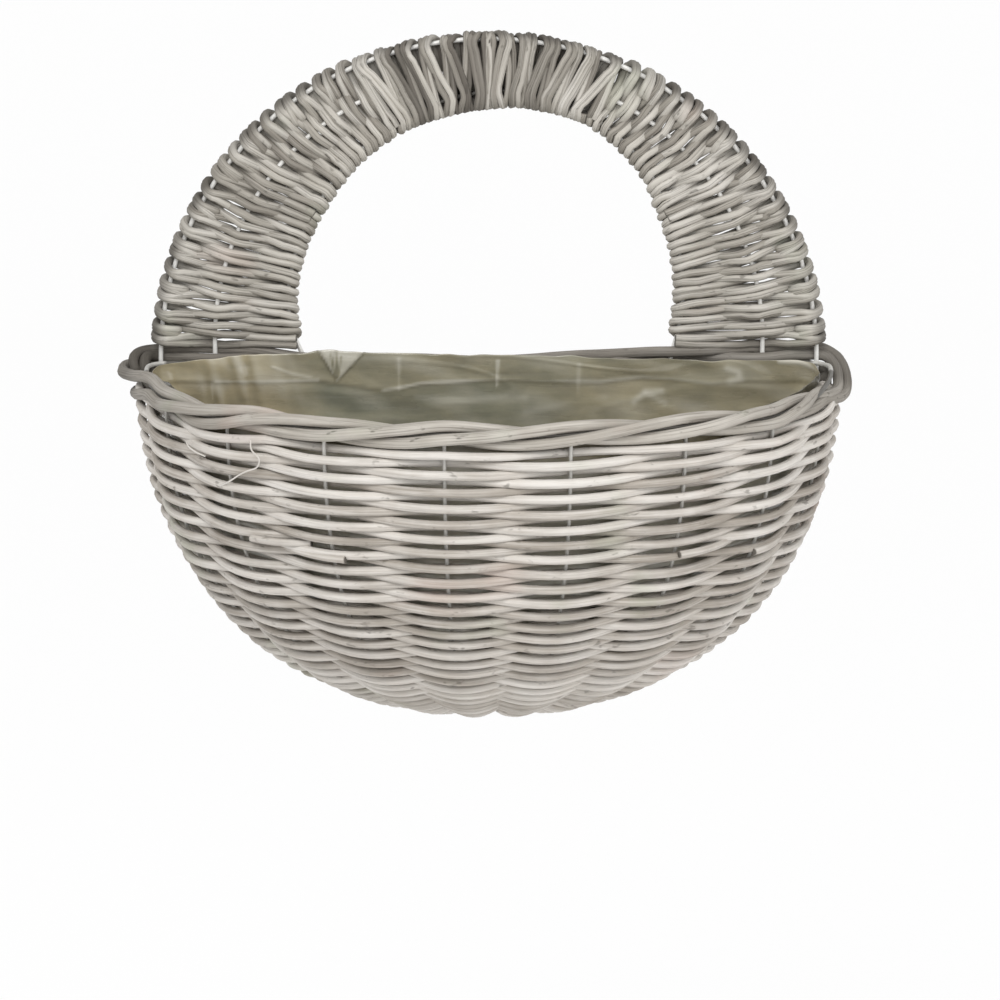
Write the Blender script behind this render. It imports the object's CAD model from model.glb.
# %% [markdown]
# # A half-round wicker wall planter
#
# Grey-washed willow rods are woven on a frame of galvanised wire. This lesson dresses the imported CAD
# frame: it sweeps smooth round rods along the paths that the weaving takes, drapes a crumpled film
# liner inside the bowl, and paints everything with node materials. Each piece is worked out as whole
# numpy arrays, so there is no loop over vertices anywhere.

# %% Load the frame
import math

import bpy
import numpy as np
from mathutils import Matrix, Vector


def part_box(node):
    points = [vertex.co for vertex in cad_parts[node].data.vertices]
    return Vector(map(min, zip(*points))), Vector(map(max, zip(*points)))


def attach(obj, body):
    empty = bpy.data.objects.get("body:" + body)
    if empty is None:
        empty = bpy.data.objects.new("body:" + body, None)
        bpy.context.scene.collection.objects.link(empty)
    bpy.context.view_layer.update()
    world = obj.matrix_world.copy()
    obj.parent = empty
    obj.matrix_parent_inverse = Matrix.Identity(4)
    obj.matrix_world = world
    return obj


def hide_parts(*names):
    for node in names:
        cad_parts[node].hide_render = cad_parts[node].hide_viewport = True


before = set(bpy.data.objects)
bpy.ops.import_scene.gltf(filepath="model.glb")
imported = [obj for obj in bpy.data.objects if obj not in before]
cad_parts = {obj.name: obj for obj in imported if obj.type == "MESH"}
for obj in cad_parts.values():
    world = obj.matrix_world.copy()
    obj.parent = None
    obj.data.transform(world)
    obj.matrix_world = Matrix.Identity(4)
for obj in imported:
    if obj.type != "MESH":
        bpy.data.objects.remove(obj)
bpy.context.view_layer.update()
RIM_HEIGHT = sum(corner[2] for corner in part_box("rim_wire")) / 2
print(f"rim at {RIM_HEIGHT * 1000:.1f} mm, {len(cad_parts)} CAD nodes")

# %% [markdown]
# ## The maker's measures
#
# All lengths are in metres, counted from the middle of the rim in the plane of the back hoop. They
# repeat the CAD's, so that each rod lies where its solid lies. The rods are drawn a little thicker than
# the solids, because the CAD keeps a clearance that real rods, pressed together, don't have. The wires
# are drawn thinner, because little more than a bright line of each can be seen.

# %% Measures of the frame and the rods
WIRE_R = 0.0015
GAP = 0.0003
BOWL_R, ARCH_R, BORDER_R = 0.00215, 0.0020, 0.0026
HOOP_R, HOOP_TALL = 0.1810, 0.99
MIDDLE_R, MIDDLE_RISE = 0.1510, 0.0110
INNER_R, INNER_RISE, INNER_TUCK = 0.1120, 0.0400, math.radians(28.0)
BOWL_HALF, BOWL_REACH, BOWL_DROP, BOWL_POWER = 0.1875, 0.1780, 0.1830, 2.25
BASE_RING = 0.0200
WEAVE_END = 0.0380
BOWL_CLEAR = WIRE_R + GAP + BOWL_R
BOWL_TURN = BOWL_CLEAR * math.sqrt(2)
BORDER_CLEAR = WIRE_R + GAP + BORDER_R
BORDER_SWING = BORDER_CLEAR / math.cos(math.radians(30))
BORDER_HALF = BORDER_SWING + BORDER_R
WIRE_STEP = 2 * WIRE_R + GAP
RIM_BACK = -WIRE_STEP
SEAM = -(BOWL_CLEAR * 2 + BOWL_TURN + GAP + BOWL_R)
CORNER_BEND = RIM_BACK - SEAM
BACK_STAKE = INNER_R * math.cos(INNER_TUCK) / 2
STAKE_ANGLE = 20.0
STATIONS = np.array([-90.0] + [-67.0 + STAKE_ANGLE * i for i in range(8)] + [90.0])
DRAWN_BOWL, DRAWN_BORDER, DRAWN_BACK = 0.00245, 0.00300, 0.00300
DRAWN_WIRE, DRAWN_STAKE, DRAWN_TAIL, DRAWN_FIBRE = 0.0013, 0.0010, 0.0021, 0.00045
DRAWN_TURN = 0.0043
mm = 0.001
FLIP = np.array([-1.0, 1.0, 1.0])
UP, WALL = np.eye(3)[[2, 1]]
NEAR_UP = UP + 1e-3
rng = np.random.default_rng(7)

# %% [markdown]
# ## Sweeping a rod
#
# Every rod and wire is a circle carried along a path. At each point of the path the circle needs two
# directions square to the run: one comes from the cross product of the run and a guide direction that
# is never parallel to it, the other from a second cross product. No frame has to be carried from ring
# to ring, so the whole rod is one array. A guide is easy to find here: for a rod wound round a wire it
# is the wire's own direction.

# %% Paths and sweeps
def waves(u, v, seed, count=9):
    """Smooth unevenness: a sum of sines with random directions and phases, about one high."""
    local = np.random.default_rng(seed)
    k = local.normal(0.0, 1.0, (2, count))
    p = local.uniform(0.0, 2 * np.pi, count)
    u, v = np.broadcast_arrays(u, v)
    return np.sin(k[0] * u[..., None] + k[1] * v[..., None] + p).sum(axis=-1) / math.sqrt(count)


def unit(v):
    """Vectors divided by their own lengths."""
    return v / np.maximum(np.linalg.norm(v, axis=-1, keepdims=True), 1e-12)


def xyz(x, y, z):
    """Points from three coordinates, each an array or one number for all."""
    return np.stack(np.broadcast_arrays(x, y, z), axis=-1)


def held(values):
    """Values held between nought and one."""
    return np.clip(values, 0.0, 1.0)


def evened(values, reach):
    """Mean of each value and its neighbours, as many as the reach on either side."""
    count = 2 * reach + 1
    return np.convolve(np.pad(values, reach, mode="edge"), np.ones(count) / count, mode="valid")


def length_so_far(path):
    """Length along the path up to each of its points."""
    return np.concatenate([[0.0], np.cumsum(np.linalg.norm(np.diff(path, axis=0), axis=1))])


def smooth_path(points, per_span):
    """Cubic Hermite curve through the points. Each tangent is the mean of the two neighbouring chords'
    directions, each weighted by the other chord's length, so short turns stay round and long passes
    stay straight."""
    p = np.asarray(points, float)
    chord = np.diff(p, axis=0)
    size = np.linalg.norm(chord, axis=1)[:, None]
    way = chord / size
    between = (way[:-1] * size[1:] + way[1:] * size[:-1]) / (size[:-1] + size[1:])
    tangent = np.concatenate([way[:1], between, way[-1:]])
    t = (np.arange(per_span) / per_span)[None, :, None]
    a, b = p[:-1, None], p[1:, None]
    ta, tb = tangent[:-1, None] * size[:, None], tangent[1:, None] * size[:, None]
    curve = ((2 * t**3 - 3 * t**2 + 1) * a + (t**3 - 2 * t**2 + t) * ta
             + (3 * t**2 - 2 * t**3) * b + (t**3 - t**2) * tb)
    return np.concatenate([curve.reshape(-1, 3), p[-1:]])


def sweep(path, guide, radius, sides=8, closed=False):
    """Rings of vertices: ring point = path point + radius * (cos a * n + sin a * b), where b is the run
    crossed with the guide and n is b crossed with the run. Returns the vertices and, for each, its
    place on the straightened rod: the same circle, with the length so far as its height."""
    path = np.asarray(path, float)
    radius = np.broadcast_to(np.asarray(radius, float), len(path))
    if closed:
        run = np.roll(path, -1, axis=0) - np.roll(path, 1, axis=0)
    else:
        run = np.gradient(path, axis=0)
    run = unit(run)
    b = unit(np.cross(run, guide))
    n = np.cross(b, run)
    angle = 2 * np.pi * np.arange(sides) / sides
    ring = np.cos(angle)[:, None] * n[:, None] + np.sin(angle)[:, None] * b[:, None]
    wide = radius[:, None]
    grain = xyz(wide * np.cos(angle), wide * np.sin(angle), length_so_far(path)[:, None])
    return path[:, None] + wide[..., None] * ring, grain


def tube_faces(count, sides, closed):
    """Quads between neighbouring rings, and a fan from each end ring to its centre vertex."""
    ring = np.arange(count if closed else count - 1)[:, None] * sides
    side = np.arange(sides)[None]
    nxt = (side + 1) % sides
    up = (ring + sides) % (count * sides)
    quads = np.stack([ring + side, ring + nxt, up + nxt, up + side], axis=-1).reshape(-1, 4)
    if closed:
        return quads, np.empty((0, 3), int)
    side, nxt = side[0], nxt[0]
    last = (count - 1) * sides
    start = np.stack([nxt, side, np.full(sides, count * sides)], axis=-1)
    end = np.stack([last + side, last + nxt, np.full(sides, count * sides + 1)], axis=-1)
    return quads, np.concatenate([start, end])


# %% [markdown]
# ## From arrays to a mesh
#
# A piece of weaving holds many rods in one mesh. Three attributes travel with its vertices: the place
# on the straightened rod, for grain that follows it, a tone that makes each rod its own shade, and a
# mark on cut ends and dark stretches. `foreach_set` hands each array to Blender in one call. The length
# and the size of the chamfer at a rod's end are shares of the rod's radius.

# %% Building meshes
CHAMFER_LENGTH, CHAMFER_SIZE = 0.3, 0.72


class Bundle:
    """Rods gathered for one mesh."""

    def __init__(self):
        self.arrays = {key: [] for key in ("vertices", "quads", "tris", "grain", "tone", "cut")}
        self.count = 0

    def rod(self, path, guide, radius, tone=0.5, sides=8, closed=False, dark=0.0, soil=None):
        """Sweep one rod into the bundle. Its ends are cut square with a small chamfer ring, and marked
        as dark as can be; the rest is as dark as it is told, or as the soil at its vertices says."""
        path = np.asarray(path, float)
        radius = np.broadcast_to(np.asarray(radius, float), len(path)).copy()
        tone = np.broadcast_to(np.asarray(tone, float), len(path))
        cut = np.broadcast_to(np.asarray(dark, float), len(path))
        guide = np.broadcast_to(np.asarray(guide, float), path.shape)
        if not closed:
            start = path[:1] - unit(path[1:2] - path[:1]) * radius[0] * CHAMFER_LENGTH
            end = path[-1:] + unit(path[-1:] - path[-2:-1]) * radius[-1] * CHAMFER_LENGTH
            path = np.concatenate([start, path, end])
            radius = np.concatenate([radius[:1] * CHAMFER_SIZE, radius, radius[-1:] * CHAMFER_SIZE])
            tone = np.concatenate([tone[:1], tone, tone[-1:]])
            cut = np.concatenate([[1.0], cut, [1.0]])
            guide = np.concatenate([guide[:1], guide, guide[-1:]])
        rings, grain = sweep(path, guide, radius, sides, closed)
        grain[..., 2] += rng.uniform(0.0, 9.0)
        quads, tris = tube_faces(len(path), sides, closed)
        cut = np.repeat(cut, sides)
        if soil is not None:
            cut = np.maximum(cut, soil(rings.reshape(-1, 3)))
        self.add(quads=quads + self.count, tris=tris + self.count, vertices=rings.reshape(-1, 3),
                 grain=grain.reshape(-1, 3), tone=np.repeat(tone, sides), cut=cut)
        self.count += len(cut)
        if not closed:
            ends = grain[[0, -1]].mean(axis=1)
            self.add(vertices=path[[0, -1]], grain=ends, tone=tone[[0, -1]], cut=np.ones(2))
            self.count += len(ends)

    def add(self, **arrays):
        """Put each array at the end of its list."""
        for key, values in arrays.items():
            self.arrays[key].append(values)

    def piece(self, name, material, slot, nodes):
        """Make the mesh object that stands for these CAD nodes."""
        joined = {key: np.concatenate(values) for key, values in self.arrays.items()}
        mesh = grid_mesh(name, joined["vertices"], joined["quads"], joined["tris"])
        for key in ("grain", "tone", "cut"):
            store(mesh, key, joined[key])
        add_piece(mesh, material, nodes)


def store(mesh, key, values):
    """Keep a number or a vector for each vertex of the mesh, as an attribute with this name."""
    kind, field = ("FLOAT_VECTOR", "vector") if values.ndim == 2 else ("FLOAT", "value")
    mesh.attributes.new(key, kind, "POINT").data.foreach_set(field, values.ravel().astype(np.float32))


def grid_mesh(name, vertices, quads, tris=np.empty((0, 3), int)):
    """A mesh from arrays, smooth shaded. Rim-based heights become heights in the part's own frame."""
    mesh = bpy.data.meshes.new(name)
    places = np.asarray(vertices, np.float32) + np.array([0.0, 0.0, RIM_HEIGHT], np.float32)
    mesh.vertices.add(len(places))
    mesh.vertices.foreach_set("co", places.ravel())
    corners = np.concatenate([quads.ravel(), tris.ravel()]).astype(np.int32)
    mesh.loops.add(len(corners))
    mesh.loops.foreach_set("vertex_index", corners)
    starts = np.concatenate([np.arange(len(quads)) * 4, len(quads) * 4 + np.arange(len(tris)) * 3])
    mesh.polygons.add(len(starts))
    mesh.polygons.foreach_set("loop_start", starts.astype(np.int32))
    mesh.update(calc_edges=True)
    mesh.validate()
    mesh.shade_smooth()
    return mesh


def placed(name, data):
    """A new object in the scene for this mesh, camera or lamp."""
    made = bpy.data.objects.new(name, data)
    bpy.context.scene.collection.objects.link(made)
    return made


def add_piece(mesh, material, nodes):
    """Put a finished mesh in the scene, on the planter's one body, in place of its CAD nodes."""
    piece = placed(mesh.name, mesh)
    mesh.materials.append(material)
    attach(piece, "root")
    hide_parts(*nodes)
    print(f"{mesh.name}: {len(mesh.polygons)} faces for {', '.join(nodes)}")
    return piece


# %% [markdown]
# ## Shader maths as Python
#
# A node tree is easier to read as arithmetic. `Value` wraps a socket and overloads the operators, so
# `1 - mask * 0.4` adds two Math nodes. `Finish.node` makes any other node: its settings are set first,
# then its sockets get values or links.

# %% Materials from expressions
class Value:
    """A socket that can be added, subtracted and multiplied."""

    def __init__(self, finish, socket):
        self.finish, self.socket = finish, socket

    def math(self, operation, a, b=0.0, clamp=False):
        settings = {"operation": operation, "use_clamp": clamp}
        return self.finish.node("ShaderNodeMath", settings, {0: a, 1: b})

    def __add__(self, other):
        return self.math("ADD", self, other)

    def __sub__(self, other):
        return self.math("SUBTRACT", self, other)

    def __rsub__(self, other):
        return self.math("SUBTRACT", other, self)

    def __mul__(self, other):
        return self.math("MULTIPLY", self, other)

    def clip(self):
        """The value held between nought and one."""
        return self.math("ADD", self, 0.0, clamp=True)

    __radd__, __rmul__ = __add__, __mul__


class Finish:
    """One material and its node tree."""

    def __init__(self, name):
        self.material = bpy.data.materials.new(name)
        self.material.use_nodes = True
        self.tree = self.material.node_tree
        self.shader = self.tree.nodes["Principled BSDF"]
        self.place = self.node("ShaderNodeTexCoord", output=3)

    def node(self, kind, settings=None, sockets=None, output=0):
        """Add a node, set its settings, then feed its sockets. Returns one of its outputs."""
        made = self.tree.nodes.new(kind)
        for key, value in (settings or {}).items():
            if key == "stops":
                self.set_stops(made.color_ramp, value)
            else:
                setattr(made, key, value)
        for key, value in (sockets or {}).items():
            self.feed(made.inputs[key], value)
        return Value(self, made.outputs[output])

    def feed(self, socket, value):
        """Link a Value, or set a plain number, colour or vector."""
        if isinstance(value, Value):
            self.tree.links.new(value.socket, socket)
        elif socket.type == "RGBA" and len(value) == 3:
            socket.default_value = (*value, 1.0)
        else:
            socket.default_value = value

    def set_stops(self, ramp, stops):
        """Place a colour ramp's stops, each a position and a grey or a colour."""
        while len(ramp.elements) < len(stops):
            ramp.elements.new(0.5)
        for element, (position, colour) in zip(ramp.elements, stops):
            element.position = position
            grey = (colour,) * 3 if isinstance(colour, float) else colour
            element.color = (*grey, 1.0)

    def noise(self, vector, scale, detail=3.0):
        """Fractal noise, from nought to one. A scale of three numbers stretches it along each axis."""
        if isinstance(scale, tuple):
            vector = self.node("ShaderNodeVectorMath", {"operation": "MULTIPLY"}, {0: vector, 1: scale})
            scale = 1.0
        return self.node("ShaderNodeTexNoise", {}, {"Vector": vector, "Scale": scale, "Detail": detail,
                                                    "Roughness": 0.55})

    def bump(self, height, strength, distance):
        """A normal from a height, whose full range is worth this distance."""
        return self.node("ShaderNodeBump", {}, {"Strength": strength, "Distance": distance, "Height": height})

    def ramp(self, value, *stops):
        """A grey ramp of a value."""
        return self.node("ShaderNodeValToRGB", {"stops": stops}, {"Fac": value})

    def mix(self, share, a, b, blend="MIX"):
        """Colour a where the share is nought, b, or a blended with b, where it is one."""
        settings = {"data_type": "RGBA", "blend_type": blend}
        return self.node("ShaderNodeMix", settings, {"Factor": share, 6: a, 7: b}, output=2)

    def attribute(self, name, output=0):
        """An attribute of the mesh: output 0 is the colour, 1 the vector and 2 the number."""
        return self.node("ShaderNodeAttribute", {"attribute_name": name}, output=output)

    def set(self, **sockets):
        """Feed the Principled shader, with underscores for spaces in the sockets' names."""
        for key, value in sockets.items():
            self.feed(self.shader.inputs[key.replace("_", " ")], value)
        return self.material


# %% [markdown]
# ## Grey-washed willow
#
# Willow has fine bark lines along the rod, slow changes from honey to grey, and dark specks where buds
# sat. The wash lies over this as a chalky film that has worn off in streaks. All of it follows the
# straightened rod, so the lines run along every bend, and each rod's tone shifts the whole mix.

# %% Willow material
def willow(name, dark, light, wash, wash_share, contrast=1.0, furrow=0.2):
    """Bark lines = noise stretched thirty-five times along the rod; the wash covers where a slower noise
    is high; furrows = dark lines at the lows of a narrow noise; specks = rare peaks of a fine noise; the
    tone attribute moves the mix between rods."""
    finish = Finish(name)
    along = finish.attribute("grain", output=1)
    tone = finish.attribute("tone", output=2)
    cut = finish.attribute("cut", output=2)
    lines = finish.noise(along, (900.0, 900.0, 26.0), 4.0)
    fine = finish.noise(along, (2600.0, 2600.0, 90.0), 2.0)
    slow = finish.noise(along, (60.0, 60.0, 14.0), 2.0)
    patch = finish.noise(finish.place, 34.0)
    specks = finish.ramp(finish.noise(along, (260.0, 260.0, 120.0), 2.0), (0.66, 0.0), (0.74, 1.0))
    furrows = finish.ramp(finish.noise(along, (1500.0, 1500.0, 24.0), 2.0), (0.36, 1.0), (0.45, 0.0))
    bark = (tone * 0.75 + lines * (0.55 * contrast) + fine * 0.25 + slow * 0.5 - 0.52).clip()
    wood = finish.mix(bark, dark, light)
    worn = ((lines * 0.8 + patch * 0.9 + tone * 0.5) - (1.55 - wash_share)).clip() * 1.6
    washed = finish.mix(worn.clip(), wood, wash)
    spotted = finish.mix((specks * 0.55 + furrows * furrow).clip(), washed, tuple(0.45 * c for c in dark))
    mossy = finish.ramp(finish.noise(finish.place, 21.0, 2.0), (0.60, 0.0), (0.72, 1.0))
    ruddy = finish.ramp(finish.noise(finish.place, (13.0, 13.0, 16.0), 2.0), (0.62, 0.0), (0.72, 1.0))
    tinted = finish.mix(mossy * 0.22, spotted, (0.40, 0.45, 0.33))
    tinted = finish.mix(ruddy * 0.30, tinted, (0.42, 0.30, 0.25))
    ended = finish.mix(cut * 0.92, tinted, tuple(0.32 * c for c in dark))
    height = lines * 0.7 + fine * 0.35 + specks * -0.4 + furrows * -0.5
    return finish.set(Base_Color=ended, Roughness=(0.86 - lines * 0.22).clip(), Specular_IOR_Level=0.32,
                      Normal=finish.bump(height, strength=0.45, distance=0.0006))


BOWL_WILLOW = willow("bowl_willow", dark=(0.235, 0.205, 0.170), light=(0.570, 0.527, 0.475),
                     wash=(0.645, 0.618, 0.580), wash_share=0.62, furrow=0.14)
ARCH_WILLOW = willow("arch_willow", dark=(0.158, 0.138, 0.115), light=(0.436, 0.410, 0.361),
                     wash=(0.572, 0.547, 0.506), wash_share=0.46, contrast=1.6, furrow=0.46)
RIM_WILLOW = willow("rim_willow", dark=(0.180, 0.158, 0.130), light=(0.428, 0.397, 0.350),
                    wash=(0.530, 0.503, 0.460), wash_share=0.42, contrast=1.4, furrow=0.38)
BACK_WILLOW = willow("back_willow", dark=(0.190, 0.170, 0.140), light=(0.480, 0.450, 0.400),
                     wash=(0.600, 0.580, 0.545), wash_share=0.45)

# %% [markdown]
# ## Galvanised wire
#
# The wire's zinc is pale and dull, with a faint mottle and darker spots where the coating is thin. It
# shows only as short dashes between rods, so the mottle stays small.

# %% Wire material
def galvanised(name, dull, bright):
    """Pale metal: a fine and a coarse noise vary the colour and the roughness, and the marked stretches
    and cut ends are dark with grime."""
    finish = Finish(name)
    coarse = finish.noise(finish.place, 160.0)
    fine = finish.noise(finish.place, 1400.0, 2.0)
    blend = (coarse * 0.7 + fine * 0.5 - 0.2).clip()
    colour = finish.mix(blend, dull, bright)
    colour = finish.mix(finish.attribute("cut", output=2) * 0.96, colour, (0.075, 0.069, 0.058))
    return finish.set(Base_Color=colour, Metallic=0.15, Roughness=(0.30 + coarse * 0.35).clip(),
                      Normal=finish.bump(fine, strength=0.2, distance=0.0002))


ZINC = galvanised("arch_wire", (0.62, 0.61, 0.58), (0.90, 0.89, 0.87))
DULL_ZINC = galvanised("bowl_wire", (0.40, 0.39, 0.36), (0.66, 0.65, 0.62))

# %% [markdown]
# ## The bowl's surface
#
# Seen from the side the bowl is a rounded square, which a superellipse draws with one exponent. Seen
# from above it is half an ellipse. The rods need two things from it: a point, and the direction square
# to the surface, along which they swing out and in round the stakes.

# %% Bowl surface
quarter = np.linspace(0.0, np.pi / 2, 2000)
OUT, DOWN = np.cos(quarter) ** (2 / BOWL_POWER), np.sin(quarter) ** (2 / BOWL_POWER)
RUN = np.concatenate([[0.0], np.cumsum(np.hypot(np.diff(OUT) * BOWL_HALF, np.diff(DOWN) * BOWL_DROP))])


def bowl_place(run, degrees):
    """Point = half an ellipse scaled by the superellipse's share at that run down the stake; normal =
    the ellipse's own normal tilted by the profile's slope."""
    run, turn = np.broadcast_arrays(run, np.radians(degrees))
    out, down = np.interp(run, RUN, OUT), np.interp(run, RUN, DOWN)
    low, high = np.maximum(run - BOWL_R, 0.0), np.minimum(run + BOWL_R, RUN[-1])
    d_out = (np.interp(high, RUN, OUT) - np.interp(low, RUN, OUT)) * BOWL_HALF
    d_down = (np.interp(high, RUN, DOWN) - np.interp(low, RUN, DOWN)) * BOWL_DROP
    point = xyz(BOWL_HALF * out * np.sin(turn), SEAM - BOWL_REACH * out * np.cos(turn), -BOWL_DROP * down)
    level = unit(xyz(BOWL_REACH * np.sin(turn), -BOWL_HALF * np.cos(turn), 0.0))
    return point, unit(level * d_down[..., None] + d_out[..., None] * UP)


def run_at_depth(depth):
    """Run down the stake to a depth below the rim."""
    return np.interp(depth / BOWL_DROP, DOWN, RUN)


def run_at_radius(radius):
    """Run down the stake to where the bowl has narrowed to a radius."""
    return np.interp(-radius / BOWL_HALF, -OUT, RUN)


def hoop_half(z):
    """Half width of the back hoop at a height below the rim."""
    return HOOP_R * np.interp(-np.asarray(z) / BASE_DEPTH, DOWN, OUT)


SETTLED = mm * np.array([
    [-186, 0], [-175, -2.4], [-150, -2.9], [-137, -1.2], [-115, 2.6], [-92, 0.8], [-48, 1.5], [-23, 2.8],
    [10, 1.4], [57, 1.9], [95, 1.2], [134, -1.2], [148, -4.0], [176, -2.6], [186, 0]])


def settled(x):
    """How far the border has risen or sunk from the level of the rim, by its place across the front."""
    return np.interp(x, *SETTLED.T)


BASE_DEPTH = float(-bowl_place(run_at_radius(BASE_RING), 0.0)[0][2])
INNER_LEG = INNER_R * math.cos(INNER_TUCK)

# %% [markdown]
# ## An opening that isn't a true arc
#
# The weaver's pull has drawn the inner wire in, most on the left shoulder and less at the right leg. A
# table says by how many millimetres at each angle round the middle of the inner arch, counted in
# degrees from the right.

# %% The pull on the inner wire
PULL = np.array([
    [-28, 0], [-20, 5.2], [25, 5.4], [34, 2.6], [60, 0.6], [80, 0], [100, 3.5], [120, 7.6], [152, 7.4],
    [180, 1.8], [190, 0.8], [200, 3.5], [208, 0]])


def hoop_reach(points):
    """Distance outwards from the hoop's line, less than nought inside it."""
    return np.hypot(points[:, 0], points[:, 2] / HOOP_TALL) - HOOP_R


def pulled_in(points):
    """Points moved towards the middle of the inner arch: by the whole of the table's length at the inner
    wire and inside it, by less further out, and not at all at the hoop."""
    across = points[:, [0, 2]] - np.array([0.0, INNER_RISE])
    far = np.linalg.norm(across, axis=1)
    angle = (np.degrees(np.arctan2(across[:, 1], across[:, 0])) + 60.0) % 360.0 - 60.0
    inner, gap = np.maximum(far - INNER_R, 0.0), np.maximum(-hoop_reach(points), 0.0)
    share = (gap / np.maximum(inner + gap, 1e-6)) ** 1.4
    moved = points.copy()
    moved[:, [0, 2]] -= (mm * np.interp(angle, *PULL.T) * share / far)[:, None] * across
    return moved


# %% [markdown]
# ## The wire frame
#
# One closed hoop makes the arch and the flat back. Two more arches stand inside it, and their legs run
# down the back. A D-shaped rim wire, ten curved stakes and a small ring carry the bowl. The maker
# welds them where they cross.

# %% Frame wires
def leg_foot(x):
    """Height at which a straight leg meets the hoop."""
    return -BASE_DEPTH * float(np.interp(-abs(x) / HOOP_R, -OUT, DOWN)) + 2 * WIRE_R


def wire_piece(name, paths, nodes, closed=False, finish=ZINC, radius=DRAWN_WIRE):
    """Round wires along these paths as one piece: each path comes with its guide direction. Stretches
    under the border, the corners' rows and the crown's wraps are dark with grime."""
    bundle = Bundle()
    for path, guide in paths:
        x, y, z = path.T
        covered = {"rim_ring": (abs(x) < 0.178) | (y < -0.026), "bowl_stakes": abs(x) > 0.180,
                   "inner_wire": z > 0.135}
        bundle.rod(path, guide, radius, sides=10, closed=closed, dark=covered.get(name, 0.0))
    bundle.piece(name, finish, "galvanised_wire", nodes)


def arch_path(radius, rise, tuck, leg):
    """Up one leg, round the arch and down the other leg."""
    turn = np.linspace(-tuck, np.pi + tuck, 121)
    arc = xyz(radius * np.cos(turn), 0.0, rise + radius * np.sin(turn))
    right = xyz(leg, 0.0, np.linspace(leg_foot(leg), arc[0, 2], 12)[:-1])
    return np.concatenate([right, arc, right[::-1] * FLIP])


turn = np.linspace(0.0, np.pi, 91)
upper = xyz(np.cos(turn), 0.0, HOOP_TALL * np.sin(turn)) * HOOP_R
power = 2 / BOWL_POWER
lower = xyz(HOOP_R * np.sign(np.cos(turn)) * np.abs(np.cos(turn)) ** power, 0.0,
            -BASE_DEPTH * np.sin(turn) ** power)[-2:0:-1]
wire_piece("hoop_wire", [(np.concatenate([upper, lower]), WALL)], ["back_hoop"], closed=True)
wire_piece("middle_wire", [(arch_path(MIDDLE_R, MIDDLE_RISE, 0.0, MIDDLE_R), WALL)], ["middle_arch_wire"])
inner_path = pulled_in(arch_path(INNER_R, INNER_RISE, INNER_TUCK, INNER_LEG))
wire_piece("inner_wire", [(inner_path, WALL)], ["inner_arch_wire"])

front = bowl_place(0.0, np.linspace(-90.0, 90.0, 121))[0]
front[:, 2] += settled(front[:, 0])
bend = np.radians(np.linspace(0.0, 90.0, 9)[1:])
corner = xyz(BOWL_HALF - CORNER_BEND + CORNER_BEND * np.cos(bend), SEAM + CORNER_BEND * np.sin(bend), 0.0)
rim_path = np.concatenate([front, corner, corner[::-1] * FLIP])
wire_piece("rim_ring", [(rim_path, UP)], ["rim_wire"], True, DULL_ZINC)
front = bowl_place(run_at_radius(BASE_RING), np.linspace(-90.0, 90.0, 31))[0]
back = np.array([[BASE_RING, RIM_BACK, front[0, 2]], [-BASE_RING, RIM_BACK, front[0, 2]]])
wire_piece("foot_ring", [(np.concatenate([front, back]), UP)], ["base_ring"], True, DULL_ZINC)

stake_paths = []
for angle in STATIONS:
    top = WIRE_R - settled(BOWL_HALF * math.sin(math.radians(angle)))
    stake_runs = np.linspace(run_at_depth(top), run_at_radius(BASE_RING + WIRE_R), 60)
    across = np.array([math.cos(math.radians(angle)), math.sin(math.radians(angle)), 0.0])
    stake_paths.append((bowl_place(stake_runs, angle)[0], across))
stake_nodes = ["corner_stake_left", *[f"stake_{i}" for i in range(1, 9)], "corner_stake_right"]
wire_piece("bowl_stakes", stake_paths, stake_nodes, finish=DULL_ZINC, radius=DRAWN_STAKE)
back_paths = [(np.array([[x, 0.0, WIRE_R], [x, 0.0, leg_foot(x)]]), WALL)
              for x in (-BACK_STAKE, 0.0, BACK_STAKE)]
wire_piece("back_stakes", back_paths, ["back_stake_left", "back_stake_middle", "back_stake_right"],
           finish=DULL_ZINC)

# %% [markdown]
# ## Weaving the bowl
#
# In plain weave a row passes outside one stake and inside the next, and the next row does the
# opposite. One number, the station, counts the stakes along a row; the rod's swing is a cosine of it,
# so it is fully out at even stations and fully in at odd ones. At each end the rod turns round the
# corner stake and comes back as the next row. Rods differ in shade and thickness, and taper from butt
# to tip, so a running rod number is worked out from the length, and changes only where the rod is
# hidden on the inside.

# %% Rod shades along a strand
def rod_marks(path, hidden, shortest, longest, thickness, taper=0.14):
    """Split a strand into rods: cumulative random lengths, each moved on to the next hidden place.
    Returns a tone and a radius for every point, the radius falling from butt to tip."""
    length = length_so_far(path)
    places = np.flatnonzero(hidden)
    wanted = np.cumsum(rng.uniform(shortest, longest, 200))
    cuts = places[np.minimum(np.searchsorted(length[places], wanted[wanted < length[-1]]), len(places) - 1)]
    cuts = np.unique(np.concatenate([[0], cuts, [len(path) - 1]]))
    number = np.minimum(np.searchsorted(cuts, np.arange(len(path)), side="right") - 1, len(cuts) - 2)
    start, end = length[cuts[number]], length[cuts[number + 1]]
    share = (length - start) / np.maximum(end - start, 1e-6)
    tones = rng.beta(2.2, 1.8, len(cuts))
    butts = rng.uniform(1.0, 1.0 + taper, len(cuts))
    return tones[number], thickness * (butts[number] - taper * share)


# %% Bowl rows
ROW_PITCH = 0.0043
PER_STAKE, TURN_STEPS = 9, 7
PARTED_ROW = 14.5
first = run_at_depth(BORDER_HALF + GAP + BOWL_R)
row_count = int((run_at_radius(WEAVE_END) - first) / ROW_PITCH) + 1
row_runs = first + ROW_PITCH * np.arange(row_count)


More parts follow.
